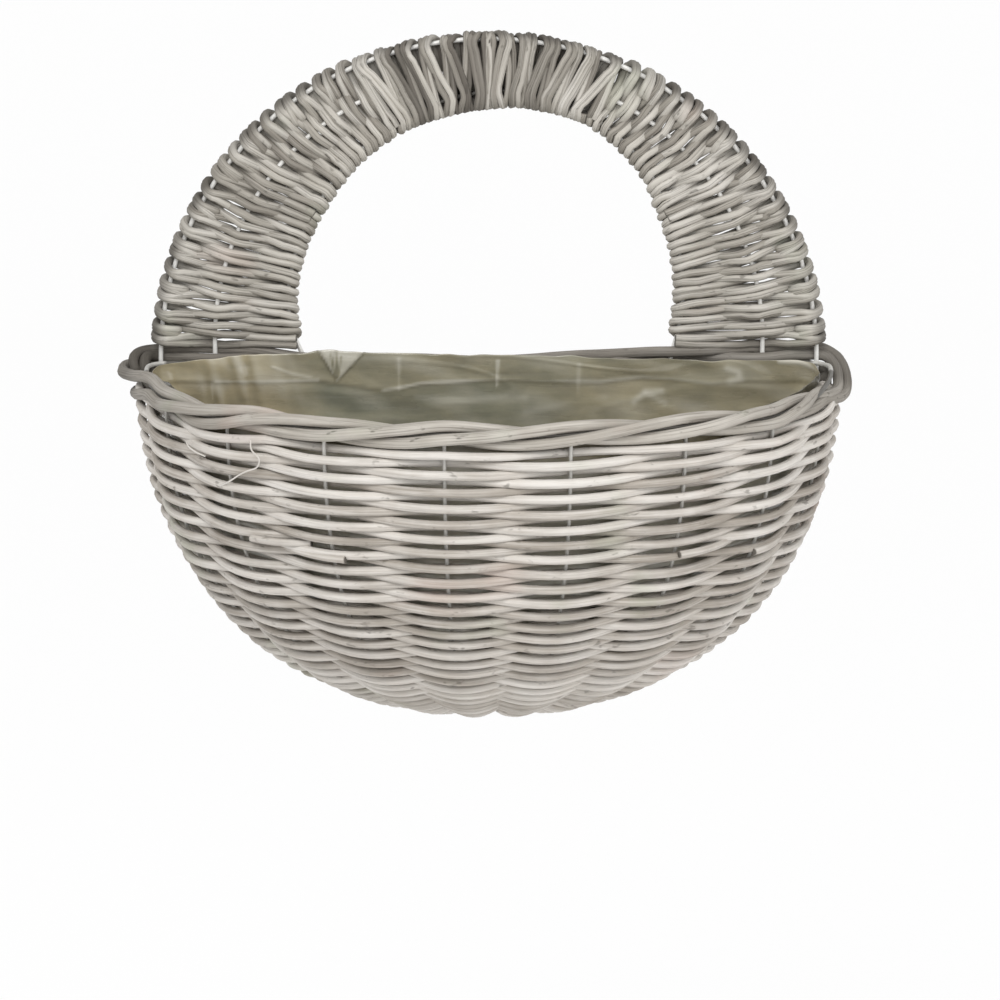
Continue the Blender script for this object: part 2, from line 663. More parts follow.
def degrees_at(station):
    """Degrees round the bowl at a place counted in stakes from the left corner."""
    return np.interp(station, np.arange(len(STATIONS)), STATIONS)


def strands(rows, count):
    """The numbers of these many rows, shared out between strands, each with its strand's number."""
    return enumerate(np.split(np.arange(rows), np.linspace(0, rows, count + 1).astype(int)[1:-1]), start=1)


def swing_at(run):
    """How far a rod stands off the stakes: more where they close in, so that it clears the wire."""
    spacing = 2 * BOWL_HALF * np.interp(run, RUN, OUT) * math.sin(math.radians(STAKE_ANGLE / 2))
    return BOWL_CLEAR / np.sqrt(1.0 - (2 * BOWL_CLEAR / spacing) ** 2)


def drift(station, row):
    """Unevenness shared by neighbouring rows, which were pushed down together: long waves over station
    and row, one place where the rows were left apart, and the first rows following the border."""
    apart = 0.5 + 0.5 * np.sin(0.8 * station + 1.2)
    away = row - PARTED_ROW
    below = np.sign(away) * np.exp((0.5 - abs(away)) / 7.0)
    across = BOWL_HALF * np.sin(np.radians(degrees_at(station)))
    follow = -0.85 * settled(across) * np.exp(-row / 2.5)
    return 0.0006 * waves(0.8 * station, 0.42 * row, 21) + 0.0009 * apart * below + follow


def bowl_rows(rows):
    """Points of these rows, each with the turn that leads to the next: point = surface point + normal *
    swing * cos(pi * station) * (-1) ^ row, with a slow waver down the stake that keeps rows unequal."""
    station = np.linspace(0.0, 9.0, 9 * PER_STAKE + 1)
    parity = np.where(rows % 2 == 0, 1.0, -1.0)[:, None]
    phase = rng.uniform(0.0, 2 * np.pi, (len(rows), 2))
    own = 0.00016 * (np.sin(1.3 * station + phase[:, :1]) + np.sin(2.9 * station + phase[:, 1:]))
    runs = row_runs[rows][:, None] + own + drift(station, rows[:, None])
    swing = swing_at(row_runs[rows])[:, None]
    reach = swing + (DRAWN_TURN - swing) * np.interp(station, [0, 1, 8, 9], [1, 0, 0, 1])
    point, normal = bowl_place(runs, degrees_at(station)[None])
    offset = reach * np.cos(np.pi * station) * parity
    path = point + normal * offset[..., None]
    rightward = (rows % 2 == 0)[:, None, None]
    path = np.where(rightward, path, path[:, ::-1])
    offset = np.where(rightward[..., 0], offset, offset[:, ::-1])
    angle = np.linspace(0.0, np.pi, TURN_STEPS + 2)[1:-1]
    at = np.where(rows % 2 == 0, 9, 0)
    side = np.where((rows + at) % 2 == 0, 1.0, -1.0)[:, None]
    centre, normal = bowl_place(row_runs[rows][:, None] + ROW_PITCH * angle / np.pi, STATIONS[at][:, None])
    turn = centre + DRAWN_TURN * (side[..., None] * np.cos(angle)[:, None] * normal
                                  + np.sin(angle)[:, None] * WALL)
    path = np.concatenate([path, turn], axis=1)
    turn_offset = np.broadcast_to(side * np.cos(angle), turn.shape[:2]) * DRAWN_TURN
    offset = np.concatenate([offset, turn_offset], axis=1)
    keep = len(rows) * path.shape[1] - TURN_STEPS
    return path.reshape(-1, 3)[:keep], offset.ravel()[:keep]


def laid_over(points):
    """Path on the bowl through points of run, degrees and distance outwards, the lengths in millimetres."""
    run, degrees, out = np.array(points, float).T
    point, normal = bowl_place(mm * run, degrees)
    return smooth_path(point + mm * out[:, None] * normal, 6)


def row_tail(run, start, end, lift=6.4):
    """End of a rod that was laid over its row: it stands off the bowl, then dives under the weave."""
    share = np.linspace(0.0, 1.0, 5)
    return laid_over(xyz(run + 0.6 * share, start + (end - start) * share, lift - 6.0 * share**2))


fibres = [laid_over([(8.1, -39.9, 6), (12.3, -39.6, 7), (17.2, -38.0, 7), (21.7, -38.7, 6), (24.7, -40.7, 7),
                     (27.9, -42.7, 6), (32.3, -44.9, 7), (36.4, -47.5, 6)]),
          laid_over([(18.6, -56.4, 5), (19.7, -54.6, 7), (21.2, -52.7, 7), (22.9, -51.1, 5)])]
tails = {2: [row_tail(66.5, -23.9, -36.0), row_tail(62.1, -42.0, -31.0)],
         3: [row_tail(67.2, 32.7, 45.0), row_tail(75.4, 50.6, 62.0)]}
for number, rows in strands(row_count, 6):
    path, offset = bowl_rows(rows)
    inside = offset < -0.8 * BOWL_CLEAR
    tone, radius = rod_marks(path, inside, shortest=0.35, longest=0.95, thickness=DRAWN_BOWL)
    bundle = Bundle()
    bundle.rod(path, NEAR_UP, radius, tone)
    for tail in tails.get(number, []):
        bundle.rod(tail, NEAR_UP, DRAWN_TAIL, tone=0.45)
    for fibre in fibres if number == 1 else []:
        bundle.rod(fibre, WALL, DRAWN_FIBRE, tone=1.0, sides=6)
    bundle.piece(f"bowl_rows_{number}", BOWL_WILLOW, "washed_willow", [f"bowl_weaver_{number}"])

# %% [markdown]
# ## Weaving the flat back
#
# The back is woven more loosely on the legs and three straight stakes. It lies against the wall, and
# through the film it shows as faint level bands.

# %% Back rows
BACK_PLAY = 0.0020
BACK_PITCH = 2 * BOWL_R + BACK_PLAY
BACK_TOP = -0.0045
back_lowest = leg_foot(BACK_STAKE) - 2 * WIRE_R + 3 * BOWL_TURN
back_heights = BACK_TOP - BACK_PITCH * np.arange(int((BACK_TOP - back_lowest) / BACK_PITCH) + 1)


def inner_leg(z):
    """Place of the inner arch's leg at a height: on the arc down to the tuck, then straight."""
    if z > INNER_RISE - INNER_R * math.sin(INNER_TUCK):
        return math.sqrt(INNER_R**2 - (z - INNER_RISE) ** 2)
    return INNER_LEG


def back_row(z, row):
    """Key points of one row, left to right: outside the hoop's sides, then front and back in turn."""
    half = float(hoop_half(z))
    legs = (-MIDDLE_R, -inner_leg(z), -BACK_STAKE, 0.0, BACK_STAKE, inner_leg(z), MIDDLE_R)
    inside = [x for x in legs if abs(x) < half - WIRE_STEP and leg_foot(x) - 2 * WIRE_R < z + 2 * BOWL_R]
    places = np.array([-half, *inside, half])
    beside = half - np.abs(places) < 3 * BOWL_TURN
    new_side = np.concatenate([[False], ~(beside[1:] & beside[:-1])])
    side = (1.0 if row % 2 == 0 else -1.0) * (-1.0) ** np.cumsum(new_side)
    depth = side * np.where(beside, BOWL_TURN, BOWL_CLEAR + GAP)
    return xyz(places, depth, z)


def back_strand(rows):
    """Rows there and back, joined by a turn outside the hoop."""
    keys = []
    for row in rows:
        line = back_row(back_heights[row], row)
        keys.append(line if row % 2 == 0 else line[::-1])
        if row != rows[-1]:
            z = (back_heights[row] + back_heights[row + 1]) / 2
            edge = np.array([[float(hoop_half(z)) + BOWL_TURN, 0.0, z]])
            keys.append(edge if row % 2 == 0 else edge * FLIP)
    return smooth_path(np.concatenate(keys), 6)


for number, rows in strands(len(back_heights), 3):
    path = back_strand(rows)
    behind = path[:, 1] > 0.5 * BOWL_CLEAR
    tone, radius = rod_marks(path, behind, shortest=0.4, longest=1.0, thickness=DRAWN_BACK)
    bundle = Bundle()
    shaded = (path[:, 0] > 0.172) & (path[:, 2] > -0.016)
    bundle.rod(path, NEAR_UP, radius, tone, dark=shaded)
    bundle.piece(f"back_rows_{number}", BACK_WILLOW, "washed_willow", [f"back_weaver_{number}"])

# %% [markdown]
# ## Weaving the arch
#
# The arch's weaver goes to and fro across three wires: in front of the inner wire, behind the middle
# one, in front of the outer one, and the other way round coming back. The outer wire is longer, so the
# weaver takes an extra wrap round it once in four passes. A table holds one such repeat: for each key
# point the share of the repeat, the wire, the distance out from the wire and the depth. Adding the
# repeat's number to the shares gives the whole strand. Willow bends sharply at a wire and lies straight
# between wires, so the path is filled in with circles round the wires and straight lines between them.
# Each weaver is a pair of thin rods side by side, pinched together where they turn round the hoop.

# %% Arch strands
ARCH_WIRES = np.array([[INNER_R, INNER_RISE, 1.0], [MIDDLE_R, MIDDLE_RISE, 1.0], [HOOP_R, 0.0, HOOP_TALL]])
ARCH_PLAY, CROWN_PLAY, BASE_PLAY = 0.0006, 0.0008, 0.0012
ARCH_BASE = BORDER_HALF + GAP + ARCH_R + BASE_PLAY
CROWN_DEGREES = 22.0
WRAP, PASS = 0.0037, 0.0025
REPEAT = np.array([
    [0.000, 0, 0, -WRAP], [0.040, 1, 0, PASS], [0.060, 2, 0, -WRAP], [0.120, 2, WRAP, 0],
    [0.180, 2, 0, WRAP], [0.240, 2, -2.6 * WRAP, 0], [0.300, 2, 0, -WRAP], [0.370, 2, WRAP, 0],
    [0.440, 2, 0, WRAP], [0.310, 1, 0, -PASS], [0.250, 0, 0, WRAP], [0.375, 0, -WRAP, 0],
    [0.500, 0, 0, -WRAP], [0.550, 1, 0, PASS], [0.640, 2, 0, -WRAP], [0.740, 2, WRAP, 0],
    [0.840, 2, 0, WRAP], [0.800, 1, 0, -PASS], [0.750, 0, 0, WRAP], [0.875, 0, -WRAP, 0]])


def arch_place(share, wire, off, depth):
    """Point beside an arch wire: its angle runs evenly from the base to the crown with the share."""
    radius, rise, tall = np.moveaxis(ARCH_WIRES[wire.astype(int)], -1, 0)
    base = np.arcsin((ARCH_BASE - rise) / (radius * tall))
    angle = base + share * (np.pi / 2 - base)
    return xyz((radius + off) * np.cos(angle), depth, rise + (radius * tall + off) * np.sin(angle))


def laid(table):
    """Path through a table of key points, with two points put in after each. On a wire they lie on the
    circle round it, at thirty and sixty degrees. Between wires they lie on the straight line, with the
    depth eased, so that a pass runs straight and bends only at the wires; each bows a little."""
    here, there = table[:-1], table[1:]
    start, end = arch_place(*here.T), arch_place(*there.T)
    lean = np.radians(np.array([30.0, 60.0]))[:, None]
    share = here[:, 0] + np.array([[1.0], [2.0]]) / 3 * (there[:, 0] - here[:, 0])
    off = here[:, 2] * np.cos(lean) + there[:, 2] * np.sin(lean)
    depth = here[:, 3] * np.cos(lean) + there[:, 3] * np.sin(lean)
    wound = arch_place(share, np.broadcast_to(here[:, 1], share.shape), off, depth)
    part = np.array([0.22, 0.78])[:, None, None]
    ease = part**2 * (3 - 2 * part)
    bow = unit(np.cross(end - start, WALL)) * rng.normal(0.0, 0.00035, (len(here), 1))
    level = start + part * (end - start) + bow
    level[..., 1] = (start + ease * (end - start))[..., 1]
    same = (here[:, 1] == there[:, 1])[:, None]
    return np.concatenate([np.stack([start, *np.where(same, wound, level)], axis=1).reshape(-1, 3), end[-1:]])


inner_base = math.asin((ARCH_BASE - INNER_RISE) / INNER_R)
inner_length = INNER_R * (math.pi / 2 - inner_base)
repeats = int(inner_length / (4 * (2 * ARCH_R + ARCH_PLAY)))
woven = int(repeats * (1 - CROWN_DEGREES / 90.0))
join = woven / repeats
crown_loops = int((1 - join) * inner_length / (2 * ARCH_R + CROWN_PLAY))
print(f"{woven} repeats of plain weave and {crown_loops} crown loops on each side")


def arch_guide(path):
    """The arch's own direction at each point, which no pass runs along."""
    return unit(xyz(INNER_RISE / 2 - path[:, 2], 1e-3, path[:, 0]))


def plain_strand(first, last):
    """The repeat's table laid from the first repeat to the last. The last turn is closed, with its end
    against the start of the next strand."""
    number = np.repeat(np.arange(first, last), len(REPEAT))
    table = np.tile(REPEAT, (last - first, 1))
    table[:, 0] = (table[:, 0] + number + rng.normal(0.0, 0.012, len(table))) / repeats
    return laid(np.concatenate([table, [[(last - 0.01) / repeats, 0, 0, -0.9 * WRAP]]]))


def crown_strand(loops):
    """Wraps over all three wires. Each leans its own way, mostly the opposite way to the last, so that
    neighbours cross in front, and every other one lies a little further out to let them."""
    pitch = (1 - join + 0.018) / loops
    start = join - 0.012 + (np.arange(loops) + 0.5) * pitch
    odd = np.arange(loops) % 2
    lean = (0.34 - 0.68 * odd + rng.normal(0.0, 0.16, loops)) * pitch
    lean[-1] = 0.0
    front = -WRAP - 0.0015 * odd
    out = rng.uniform(0.45, 0.85, loops) * WRAP
    tuck = -WRAP * np.interp(start, [join, join + 0.12, 1.0], [1.2, 2.0, 2.3])
    keys = [(start - lean, 0, 0, front), (start + lean, 2, 0, front),
            (start + lean * 0.6 + pitch * 0.25, 2, out, 0), (start + 0.5 * pitch, 2, 0, WRAP),
            (start + 0.5 * pitch, 0, 0, WRAP), (start + 0.75 * pitch, 0, tuck, 0)]
    table = np.stack([np.stack(np.broadcast_arrays(*key), axis=-1) for key in keys], axis=1)
    return laid(table.reshape(-1, 4)[:-1])


def between_layers(points):
    """Grime gathers between the front and the back layer, and on the outer sides of the wraps: it is one
    in the plane between the layers and nought at their faces."""
    inner = np.hypot(points[:, 0], points[:, 2] - INNER_RISE) - INNER_R
    return np.exp(-((points[:, 1] - 0.0008) / 0.0024) ** 2) * held(inner / 0.003)


# Half the distance between a pair's rods in the open and round the hoop, the shortest and longest rod,
# its radius, how dark the darkest rods are made, and the grime between the layers.
PLAIN = (0.0020, 0.0008, 0.07, 0.25, 0.00215, 0.22, 0.42)
CROWN = (0.0014, 0.0013, 0.05, 0.15, 0.00180, 0.62, 0.58)

for hand, flip in (("left", FLIP), ("right", 1.0)):
    for part, keys in (("lower", plain_strand(0, woven // 2)), ("upper", plain_strand(woven // 2, woven)),
                       ("crown", crown_strand(crown_loops + 2))):
        wide, narrow, shortest, longest, thickness, deepest, grime = CROWN if part == "crown" else PLAIN
        path = pulled_in(smooth_path(keys, 2) * flip)
        x, y, z = path.T
        tight, behind = held(1.0 + hoop_reach(path) / 0.012), held(y / 0.002)
        spread = wide * (1 + 0.12 * behind) + (narrow - wide) * tight
        spread = spread * (1.0 + 0.22 * waves(x * 200, z * 200 + y * 300, 17))
        patchy = held(0.5 + 0.7 * waves(x * 120, z * 120, 31))
        caps = held(0.4 + hoop_reach(path) / WRAP) * (0.35 + 0.55 * patchy)
        bundle = Bundle()
        for side in (-1.0, 1.0):
            rod = path + (side * spread)[:, None] * arch_guide(path)
            tone, radius = rod_marks(rod, rod[:, 1] > 0.9 * WRAP, shortest, longest, thickness, taper=0.10)
            if part == "crown":
                near_top = 0.6 - abs(rod[:, 0]) / 0.07
                tone = 1.7 * tone - 0.42 - 0.45 * near_top
            else:
                tone = 1.15 * tone + (0.06 if hand == "left" else 0.18)
            tone = evened(held(tone), 2)
            dark = np.maximum(caps, deepest * (1 - tone) ** 2)
            bundle.rod(rod, arch_guide(rod), radius * (1 + 0.12 * behind), tone, dark=dark,
                       soil=lambda points: grime * between_layers(points))
        bundle.piece(f"arch_rods_{part}_{hand}", ARCH_WILLOW, "weathered_willow",
                     [f"arch_weaver_{part}_{hand}"])

# %% [markdown]
# ## Twisting the border
#
# Three thick rods twist round the rim wire, a third of a turn for each stake, so that a stake always
# comes up between two of them. Two of the rods loop out round the hoop at the corners, and go on behind
# as a pair that changes sides at each leg. The third tucks in at both corners.

# %% Border rods
FRONT_SWING, BACK_SWING, BACK_MIDDLE = 0.0043, 0.0036, 0.0010
TIP_R, TIP_POINTS = 0.0019, 16


def border_front(phase):
    """Rod point = rim point + swing * (cos twist * outward + sin twist * up), twist = phase + 120 * s."""
    s = np.linspace(0.0, 9.0, 28)
    point, normal = bowl_place(0.0, degrees_at(s))
    twist = np.radians(phase + 120.0 * s)[:, None]
    return point + FRONT_SWING * (np.cos(twist) * normal + np.sin(twist) * UP) + settled(point[:, :1]) * UP


def border_back(side, heights):
    """One of the pair behind: it passes behind and in front of the uprights in turn, and sinks a
    little towards the middle."""
    legs = np.array([MIDDLE_R, inner_leg(0.0), BACK_STAKE, 0.0])
    legs = np.concatenate([legs, -legs[-2::-1]])
    s = np.linspace(0.0, len(legs) - 1.0, (len(legs) - 1) * 4 + 1)
    depth = BACK_MIDDLE + side * BACK_SWING * np.cos(np.pi * s)
    across = np.interp(s, np.arange(len(legs)), legs)
    places = mm * np.array([-190, -130, -98, -50, 0, 28, 61, 94, 190])
    return xyz(across, depth, np.interp(across, places, mm * np.array(heights)))


def border_shade(path):
    """How dark a border rod is along its path: more towards the corners and the back, a little more at
    the right corner, much more round the hoop at the left, and as dark as can be where its end is
    tucked in there."""
    x, y, z = path.T
    dark = np.interp(y, mm * np.array([-40, -14, 0]), [0.0, 0.52, 0.53])
    dark = np.maximum(dark, 0.34 * held((abs(x) - 0.115) / 0.070))
    dark = dark + 0.06 * (x > 0.1) * (y > -0.016)
    dark = dark + 0.22 * held((x - 0.180) / 0.008) * (y > -0.020)
    tucked_end = (x < -0.1830) & (y > -0.011) & (z > -0.0055) & (np.arange(len(path)) > len(path) / 2)
    dark = np.where(tucked_end, 1.0, dark)
    dark = np.maximum(dark, 0.75 * ((x < -0.188) & (y > -0.024)))
    return evened(dark, 3)


left_starts = {
    "high": [(-176, 6.5, -7), (-187, 6, -7.5), (-192.5, 0, -8), (-189, -12, -8), (-184, -30, -7),
             (-175, -58, -4.5)],
    "low": [(-178, 6.5, -1.6), (-191, 6.8, -1.8), (-200.5, 2.5, -2.6), (-201.5, -6, -4.0), (-196, -18, -3.8),
            (-188.5, -36, -0.5), (-181, -60, 2.6)],
    "inner": [(-182, 6, -13), (-190, 3, -14.5), (-194, -6, -15.2), (-193, -20, -13.6), (-188, -42, -9.2),
              (-182.5, -64, -5)]}
right_ends = {
    "high": [(181.5, -63, -8.2), (188, -46, -11), (193.4, -30, -12.9), (196.6, -16, -11.8), (196.9, -4, -6.2),
             (192.6, 4.4, 1.6), (185, 6.3, 6), (170, 5.2, 7)],
    "low": [(181, -62, -5.6), (187, -43, -8.4), (190.8, -26, -9.8), (192.2, -13, -7.8), (191.6, -3, -3.0),
            (187, 3.2, 1.8), (173, 3, 3.2)],
    "inner": [(174, -77, -2.5), (181.5, -52, -4.6), (185, -36, -7), (186.3, -29, -8.8)]}
left_ends = {
    "high": [(-168, 5, 7.0), (-184, 6, 5.8), (-192, 3, 5.0), (-195.5, -3, 3.0), (-195, -8, -1.5),
             (-193.5, -10, -5)],
    "low": [(-168, 3, 1.8), (-181, 5.6, 1.8), (-187, 3, 3), (-189.5, -3, 2), (-189.5, -8, -1.6),
            (-189, -10, -5)]}
heights = {"high": (7.0, 6.4, 2.2, 0.9, 0.9, 1.4, 3.0, 6.0, 7.0),
           "low": (2.2, 2.0, -1.4, -2.6, -3.0, -2.4, -1.4, 1.6, 3.2)}
for part, phase, side in (("high", 90.0, 1.0), ("low", 330.0, -1.0), ("inner", 210.0, 0)):
    keys = [mm * np.array(left_starts[part]), border_front(phase)[3:23 if part == "inner" else 24],
            mm * np.array(right_ends[part])]
    if part != "inner":
        keys += [border_back(side, heights[part]), mm * np.array(left_ends[part])]
    path = smooth_path(np.concatenate(keys), 6)
    under = path[:, 2] < -0.5 * FRONT_SWING
    tone, radius = rod_marks(path, under, shortest=0.35, longest=0.8, thickness=DRAWN_BORDER)
    radius = np.where(path[:, 1] > -0.005, DRAWN_BACK, radius)
    if part == "inner":
        radius[-TIP_POINTS:] = np.linspace(radius[-TIP_POINTS], TIP_R, TIP_POINTS)
    bundle = Bundle()
    bundle.rod(path, NEAR_UP, radius, tone, sides=12, dark=border_shade(path))
    bundle.piece(f"border_{part}", RIM_WILLOW, "border_willow", [f"border_rod_{part}"])

# %% [markdown]
# ## The film liner
#
# A thin plastic film is pushed into the bowl and folded over on itself where there is too much of it.
# The surface follows the bowl at a fixed distance inside the stakes. Its folds lean inwards, so that it
# doesn't poke through the weave. Its edge stands above the border at the back, higher on the left than
# on the right, and flares out a little at both corners.

# %% Film material
def film(name):
    """Olive film: thin, glossy and a little see-through. The stain attribute runs from grey-green to
    straw; a crease is paler where it is above nought and darker where it is below."""
    finish = Finish(name)
    crease = finish.attribute("crease", output=2)
    stain = finish.attribute("stain", output=2)
    haze = finish.noise(finish.place, (18.0, 18.0, 60.0), 4.0)
    streak = finish.noise(finish.place, (17.0, 17.0, 95.0), 4.0)
    fine = finish.noise(finish.place, 420.0)
    blot = finish.noise(finish.place, (60.0, 60.0, 95.0), 4.0)
    straw = (stain * 0.8 + haze * 0.7 + blot * 0.4 - 0.46).clip()
    base = finish.mix(straw, (0.222, 0.227, 0.178), (0.430, 0.375, 0.255))
    shade = finish.mix((streak * 1.2 + blot * 0.9 - 0.70).clip(), (0.62, 0.61, 0.58), (1.12, 1.11, 1.06))
    toned = finish.mix(1.0, base, shade, "MULTIPLY")
    pale = finish.mix(crease.clip(), toned, (0.66, 0.64, 0.57))
    dark = finish.mix((crease * -1.0).clip(), pale, (0.09, 0.085, 0.065))
    bump = finish.bump(haze * 0.6 + streak * 0.6 + fine * 0.12, strength=0.6, distance=0.0014)
    return finish.set(Base_Color=dark, Roughness=(0.16 + streak * 0.28).clip(), Normal=bump,
                      Alpha=(0.90 + crease * 0.1).clip(), Coat_Weight=0.5, Coat_Roughness=0.12)


FILM = film("liner_film")

# %% Film surface
LINER_INSET = BORDER_HALF + GAP
LINER_BACK = RIM_BACK / 2 - (WIRE_STEP / 2 + BORDER_CLEAR + GAP) - BORDER_R - GAP
LINER_BEND, LINER_FOOT, LINER_THICK = 0.012, 0.045, 0.0003
FRONT_POINTS, CORNER_POINTS, CHORD_POINTS = 141, 12, 99
AROUND, DEEP, COLLAR = 500, 84, 8


def film_outline(run, share):
    """Points on a closed D-shaped outline at this run: the share goes round the front from the left
    corner, then back along the wall. A quarter of an ellipse joins the two at each corner."""
    point, normal = bowl_place(run, np.linspace(-85.0, 85.0, FRONT_POINTS))
    front = point - LINER_INSET * normal
    half, start, depth = front[-1]
    bend = min(LINER_BEND, half / 2)
    turn = np.radians(np.linspace(0.0, 90.0, CORNER_POINTS + 1)[1:])
    corner = xyz(half - bend + bend * np.cos(turn), start + (LINER_BACK - start) * np.sin(turn), depth)
    chord_x = np.linspace(corner[-1, 0], -corner[-1, 0], CHORD_POINTS + 2)[1:-1]
    chord = xyz(chord_x, LINER_BACK, depth)
    ring = np.concatenate([front, corner, chord, corner[::-1] * FLIP, front[:1]])
    length = length_so_far(ring)
    return xyz(*(np.interp(share * length[-1], length, axis) for axis in ring.T))


def collared(values):
    """Values on the film's rings, with those of the top ring repeated for the rings of the collar."""
    return np.concatenate([np.repeat(values[:1], COLLAR, axis=0), values])


share = np.interp(np.arange(AROUND) / AROUND, [0.0, 0.32, 1.0], [0.0, 0.56, 1.0])
film_runs = run_at_radius(LINER_FOOT) * np.linspace(0.0, 1.0, DEEP) ** 1.7
film_grid = np.stack([film_outline(run, share) for run in film_runs])
at_back = held((film_grid[..., 1] - LINER_BACK + 0.02) / 0.02)
inward = unit((np.array([0.0, -0.06, 0.0]) - film_grid) * np.array([1.0, 1.0, 0.0]))
inward = unit(inward * (1 - at_back[..., None]) - WALL * at_back[..., None])

RISE = mm * np.array([
    [-190, 0.8], [-172, 1.8], [-158, 3.7], [-131, 6.8], [-104, 7.6], [-96, 9.0], [-85, 10.2], [-67, 8.0],
    [-50, 7.7], [-30, 6.8], [5, 6.6], [22, 6.2], [44, 5.8], [62, 4.3], [150, 3.6], [168, 4.0], [182, 2.6],
    [190, 2.0]])
x, y, z = film_grid[0].T
front_rise = np.maximum(0.0020 + settled(x), 0.0002)
edge = np.interp(x, *RISE.T) * at_back[0] + (1 - at_back[0]) * front_rise
edge = edge + 0.0005 * waves(x * 160, y * 160, 8)
rises = np.linspace(1.0, 0.0, COLLAR + 1)[:-1, None]
film_grid = np.concatenate([film_grid[:1] + (rises * edge)[..., None] * UP, film_grid])
x, y, z = np.moveaxis(film_grid, -1, 0)
near_edge = np.exp(-((z / 0.012) ** 2)) * held(y / 0.03 + 2.0)
x += np.where(x < 0, -0.0060, 0.0030) * held((abs(x) - 0.155) / 0.02) * near_edge
inward, at_back = collared(inward), collared(at_back)

# %% Film folds
def stroke(start, end, width):
    """Soft line on the back wall, from one point to another in millimetres: one along it, falling off
    with the square of the distance over the width."""
    a, d = mm * np.array(start), mm * (np.array(end) - np.array(start))
    t = held(((x - a[0]) * d[0] + (z - a[1]) * d[1]) / (d @ d))
    far = np.hypot(x - a[0] - t * d[0], z - a[1] - t * d[1])
    return np.exp(-(far / (mm * width)) ** 2) * at_back


def chain(points, width):
    """The highest of the strokes between neighbouring points."""
    return np.max([stroke(a, b, width) for a, b in zip(points[:-1], points[1:])], axis=0)


def drawn(table):
    """Sum of the chains in a table, each row of which gives a strength, a width and the points."""
    return sum(strength * chain(points, width) for strength, width, *points in table)


left_fold = [(-150, -8.1), (-125, -8.5), (-94, -7.6)]
long_fold = [(-58, -13.2), (-50, -12.1), (-38, -9.5), (-3, -7.6), (12, -7), (29, -8.1), (61, -8.7),
             (84, -5.9), (101, -7), (122, -9.5), (140, -8)]
fold_x, fold_z = mm * np.array(left_fold + long_fold).T
PLEAT_X, PLEAT_Z, PLEAT_HIGH = -0.0835, -0.0087, 0.0187
under = held((np.interp(x, fold_x, fold_z) - z) / 0.0015) * at_back
half_up = held((z - PLEAT_Z) / PLEAT_HIGH)
left_side, right_side = PLEAT_X - 0.0108 * half_up, PLEAT_X + 0.0170 * half_up
pleat = held(np.minimum(x - left_side, right_side - x) / 0.0010) * (z > PLEAT_Z) * at_back
slits = drawn([(0.5, 0.7, (-86.6, 7), (-84.2, -6)), (0.6, 0.6, (-83.9, 9), (-83.4, -6)),
               (0.4, 0.6, (-81, 6), (-82.6, -5))])
legs = drawn([(0.28, 1.1, (-49.4, 4), (-49.4, -13)), (0.55, 0.9, (5, 3), (4.5, -11)),
              (0.22, 1.1, (49.6, 1), (49, -16)), (0.3, 1.0, (-152, -9), (-152, -19))])
lights = drawn([
    (0.36, 1.9, (80, -20), (86, -15), (95, -14)), (0.26, 1.6, (86, -15), (97, -21)),
    (0.36, 2.0, (131, -1), (137, -3), (138, -7), (133, -8.5)), (0.8, 1.6, (160, 3), (171, 2.6), (181, 0)),
    (0.3, 0.8, (-119, 0), (-108, -4), (-98, -6)), (0.14, 2.2, (-40, -17), (-10, -20), (20, -18)),
    (0.14, 2.0, (20, -26), (45, -20), (64, -18))])
ridged = 1.0 - np.abs(waves(x * 45 + z * 40, z * 120 + y * 50, 5))
creases = held(ridged - 0.72) * 2.4
streaks = waves(x * 520 + z * 120, z * 60 + x * 90, 12)
left_folds = np.exp(-((x + 0.146) / 0.028) ** 2) * at_back
cloudy = waves(x * 85 + z * 60, z * 190 - x * 30, 6)
fold = (0.0010 * (1 + 0.8 * waves(x * 60, z * 130, 3) * waves(y * 70 + x * 20, z * 60, 4)) + 0.0007 * creases
        + 0.0012 * (1 - under) * at_back + 0.0007 * left_folds * (1 + streaks) + 0.0016 * pleat
        + 0.0008 * legs + 0.0010 * lights)
bright_x = mm * np.array([-60, -48, -15, 5, 60, 110, 140])
fold_light = np.interp(x, bright_x, [0.45, 0.90, 0.75, 0.35, 0.45, 0.35, 0.15])
crease = (0.50 * chain(left_fold, 0.9) + fold_light * chain(long_fold, 1.1) + 0.50 * pleat + legs + lights
          + 0.10 * creases * at_back + left_folds * (0.08 + 0.20 * np.clip(streaks, -1.0, 1.5))
          + 0.12 * cloudy * at_back - slits)
crease = np.where(at_back > 0, crease, np.interp(z, mm * np.array([-16, -6]), [0.55, -0.85]))
stain_x = mm * np.array([-190, -125, -103, -88, 0, 35, 75, 130, 190])
above = np.interp(x, stain_x, [1.1, 0.95, 0.55, 0.38, 0.26, 0.32, 0.42, 0.6, 0.8])
below = np.interp(x, stain_x, [1.2, 1.2, 0.45, 0.0, 0.05, 0.35, 0.6, 0.6, 0.9])
stain = np.where(at_back > 0, above + (below - above) * under, 1.0)
film_grid = film_grid + inward * fold[..., None]

# The film's faces are a rod's, turned to face inwards, with no fan at the top and one at the foot.
quads, fans = tube_faces(COLLAR + DEEP, AROUND, False)
quads, tris = quads[:, [0, 3, 2, 1]], fans[AROUND:, [1, 0, 2]] - np.array([0, 0, 1])
foot = film_grid[-1].mean(axis=0, keepdims=True)
mesh = grid_mesh("film_liner", np.concatenate([film_grid.reshape(-1, 3), foot]), quads, tris)
for key, values in (("crease", np.clip(crease, -1.0, 1.0)), ("stain", stain)):
    store(mesh, key, np.concatenate([values.ravel(), values[-1, :1]]))
liner = add_piece(mesh, FILM, ["liner"])
wall = liner.modifiers.new("film", "SOLIDIFY")
wall.thickness = LINER_THICK
wall.offset = 0.0

